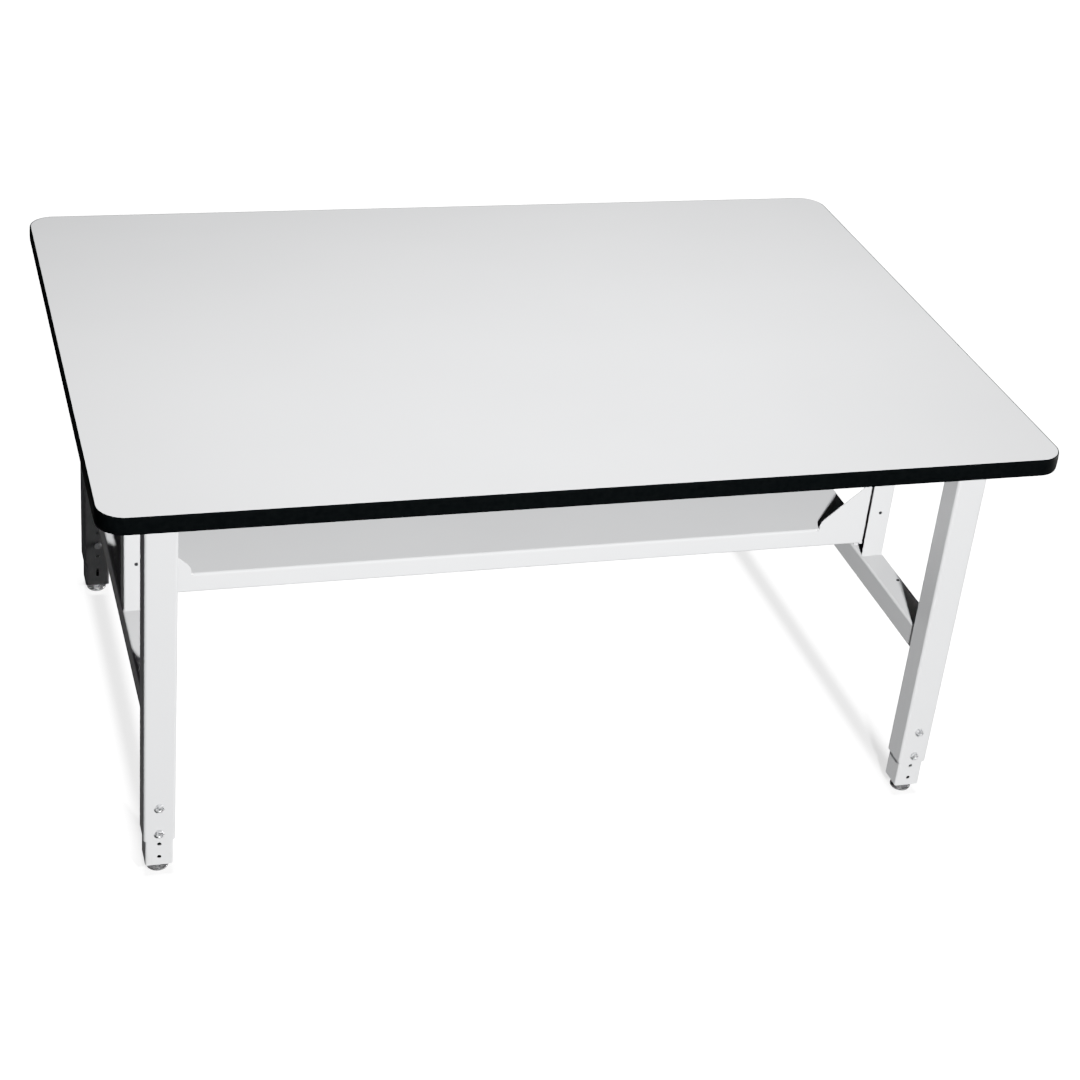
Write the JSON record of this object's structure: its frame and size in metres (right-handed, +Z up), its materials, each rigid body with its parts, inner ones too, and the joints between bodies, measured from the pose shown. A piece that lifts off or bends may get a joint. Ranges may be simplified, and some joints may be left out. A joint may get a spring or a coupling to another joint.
{
  "type": "drafting table",
  "caption": "Height-adjustable drafting table: pale laminate top with black edge band, white steel side frames, telescoping legs, levelling feet and a folded stringer.",
  "frame": {"origin": "on the floor under the middle of the worktop", "axes": "+X to the table's right as its user sits, along its width, +Y to the rear, +Z up"},
  "size_m": [1.524, 1.0668, 0.728],
  "materials": {
    "laminate": "fine matt, pale grey-white",
    "backer": "plain dark backing sheet",
    "chipboard": "raw particleboard",
    "edge_band": "satin black",
    "enamel": "glossy white-grey enamel",
    "zinc": "bright zinc plate",
    "chrome": "bright nickel plate",
    "steel": "plain steel"
  },
  "bodies": {
    "table": {"worktop_laminate": "laminate", "worktop_backer": "backer", "worktop_core": "chipboard", "edge_banding": "edge_band", "outer_leg_front_left": "enamel", "height_bolt_lower_front_left": "zinc", "height_bolt_upper_front_left": "zinc", "clamp_bolt_front_left": "zinc", "outer_leg_front_right": "enamel", "height_bolt_lower_front_right": "zinc", "height_bolt_upper_front_right": "zinc", "clamp_bolt_front_right": "zinc", "outer_leg_rear_left": "enamel", "height_bolt_lower_rear_left": "zinc", "height_bolt_upper_rear_left": "zinc", "clamp_bolt_rear_left": "zinc", "outer_leg_rear_right": "enamel", "height_bolt_lower_rear_right": "zinc", "height_bolt_upper_rear_right": "zinc", "clamp_bolt_rear_right": "zinc", "side_rail_left": "enamel", "top_rail_left": "enamel", "stringer_post_left": "enamel", "mounting_plate_left": "enamel", "post_screw_left": "steel", "rail_screw_left": "steel", "stringer_bolt_lower_left": "zinc", "stringer_bolt_upper_left": "zinc", "top_screw_front_left": "zinc", "top_screw_middle_left": "zinc", "top_screw_rear_left": "zinc", "side_rail_right": "enamel", "top_rail_right": "enamel", "stringer_post_right": "enamel", "mounting_plate_right": "enamel", "post_screw_right": "steel", "rail_screw_right": "steel", "stringer_bolt_lower_right": "zinc", "stringer_bolt_upper_right": "zinc", "top_screw_front_right": "zinc", "top_screw_middle_right": "zinc", "top_screw_rear_right": "zinc", "stringer": "enamel"},
    "leg_front_left": {"inner_leg_front_left": "enamel", "leg_plug_front_left": "steel"},
    "pad_front_left": {"glide_pad_front_left": "chrome"},
    "stud_front_left": {"glide_stud_front_left": "zinc"},
    "leg_front_right": {"inner_leg_front_right": "enamel", "leg_plug_front_right": "steel"},
    "pad_front_right": {"glide_pad_front_right": "chrome"},
    "stud_front_right": {"glide_stud_front_right": "zinc"},
    "leg_rear_left": {"inner_leg_rear_left": "enamel", "leg_plug_rear_left": "steel"},
    "pad_rear_left": {"glide_pad_rear_left": "chrome"},
    "stud_rear_left": {"glide_stud_rear_left": "zinc"},
    "leg_rear_right": {"inner_leg_rear_right": "enamel", "leg_plug_rear_right": "steel"},
    "pad_rear_right": {"glide_pad_rear_right": "chrome"},
    "stud_rear_right": {"glide_stud_rear_right": "zinc"}
  },
  "joints": [
    {"name": "height_front_left", "type": "slide", "parent": "table", "child": "leg_front_left", "axis": [0, 0, -1], "range_m": [0, 0.1524]},
    {"name": "level_front_left", "type": "slide", "parent": "leg_front_left", "child": "pad_front_left", "axis": [0, 0, -1], "range_m": [-0.005, 0.015]},
    {"name": "stud_turn_front_left", "type": "hinge", "parent": "pad_front_left", "child": "stud_front_left", "pos_m": [-0.65786, -0.41148, 0.03], "axis": [0, 0, -1], "range_deg": [-1201, 3601]},
    {"name": "height_front_right", "type": "slide", "parent": "table", "child": "leg_front_right", "axis": [0, 0, -1], "range_m": [0, 0.1524]},
    {"name": "level_front_right", "type": "slide", "parent": "leg_front_right", "child": "pad_front_right", "axis": [0, 0, -1], "range_m": [-0.005, 0.015]},
    {"name": "stud_turn_front_right", "type": "hinge", "parent": "pad_front_right", "child": "stud_front_right", "pos_m": [0.65786, -0.41148, 0.03], "axis": [0, 0, -1], "range_deg": [-1201, 3601]},
    {"name": "height_rear_left", "type": "slide", "parent": "table", "child": "leg_rear_left", "axis": [0, 0, -1], "range_m": [0, 0.1524]},
    {"name": "level_rear_left", "type": "slide", "parent": "leg_rear_left", "child": "pad_rear_left", "axis": [0, 0, -1], "range_m": [-0.005, 0.015]},
    {"name": "stud_turn_rear_left", "type": "hinge", "parent": "pad_rear_left", "child": "stud_rear_left", "pos_m": [-0.65786, 0.43434, 0.03], "axis": [0, 0, -1], "range_deg": [-1201, 3601]},
    {"name": "height_rear_right", "type": "slide", "parent": "table", "child": "leg_rear_right", "axis": [0, 0, -1], "range_m": [0, 0.1524]},
    {"name": "level_rear_right", "type": "slide", "parent": "leg_rear_right", "child": "pad_rear_right", "axis": [0, 0, -1], "range_m": [-0.005, 0.015]},
    {"name": "stud_turn_rear_right", "type": "hinge", "parent": "pad_rear_right", "child": "stud_rear_right", "pos_m": [0.65786, 0.43434, 0.03], "axis": [0, 0, -1], "range_deg": [-1201, 3601]}
  ],
  "couplings": [
    {"joint": "stud_turn_front_left", "follows": "level_front_left", "rad_per_m": 4188.8},
    {"joint": "stud_turn_front_right", "follows": "level_front_right", "rad_per_m": 4188.8},
    {"joint": "stud_turn_rear_left", "follows": "level_rear_left", "rad_per_m": 4188.8},
    {"joint": "stud_turn_rear_right", "follows": "level_rear_right", "rad_per_m": 4188.8}
  ]
}
